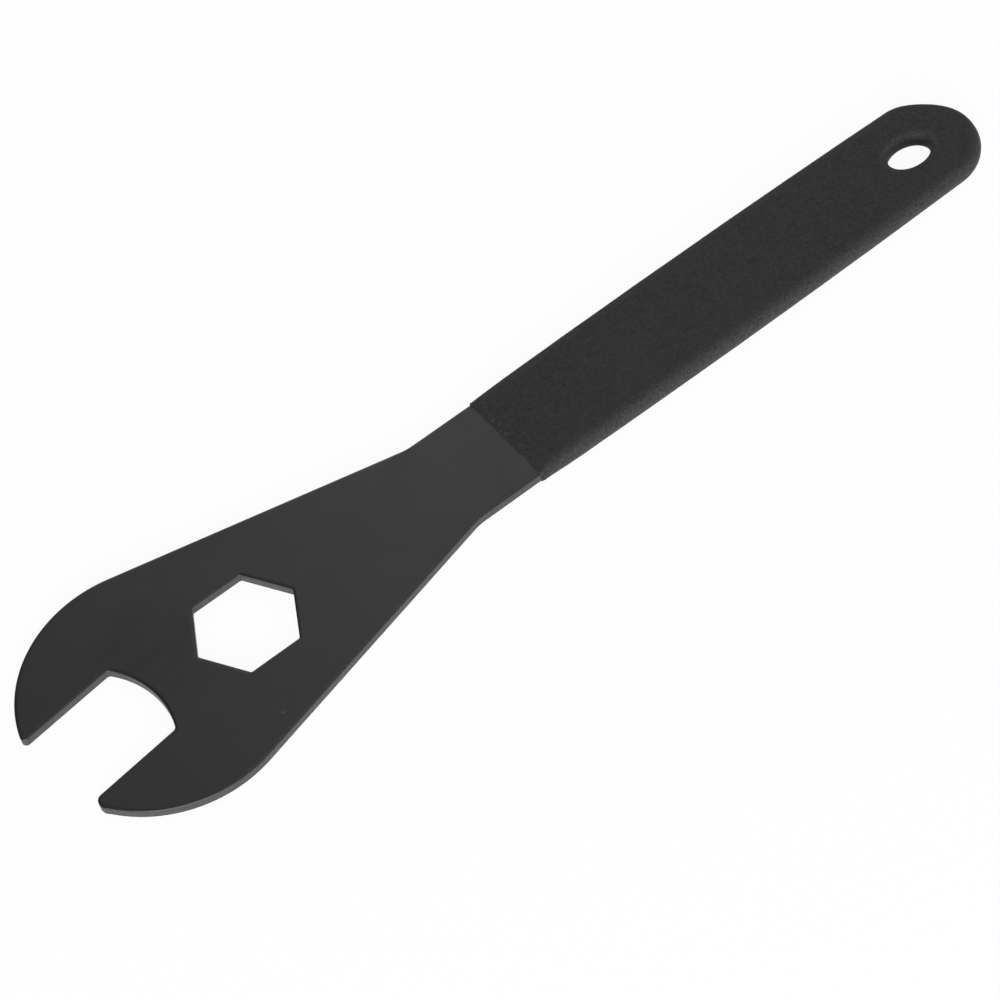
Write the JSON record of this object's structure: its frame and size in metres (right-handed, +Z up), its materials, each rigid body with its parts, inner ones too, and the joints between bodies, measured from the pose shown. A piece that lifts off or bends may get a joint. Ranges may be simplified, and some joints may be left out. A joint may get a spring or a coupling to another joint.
{
  "type": "cone wrench",
  "caption": "Thin flat wrench for wheel hub cones: open jaw, hexagonal hole behind it in a round head, and a soft dipped grip with a hang hole.",
  "frame": {"origin": "under the middle of the wrench's length and width, on the surface that it lies on", "axes": "+X from the jaw to the end of the handle, +Y across the head, +Z up out of the flat face"},
  "size_m": [0.215, 0.0502, 0.0042],
  "materials": {
    "steel_plate": "flat steel with a dark satin finish, lighter grey on the cut edges",
    "grip_vinyl": "matt black dipped vinyl with a fine pebbled skin"
  },
  "bodies": {
    "root": {"wrench_plate": "steel_plate", "handle_grip": "grip_vinyl"}
  },
  "joints": []
}
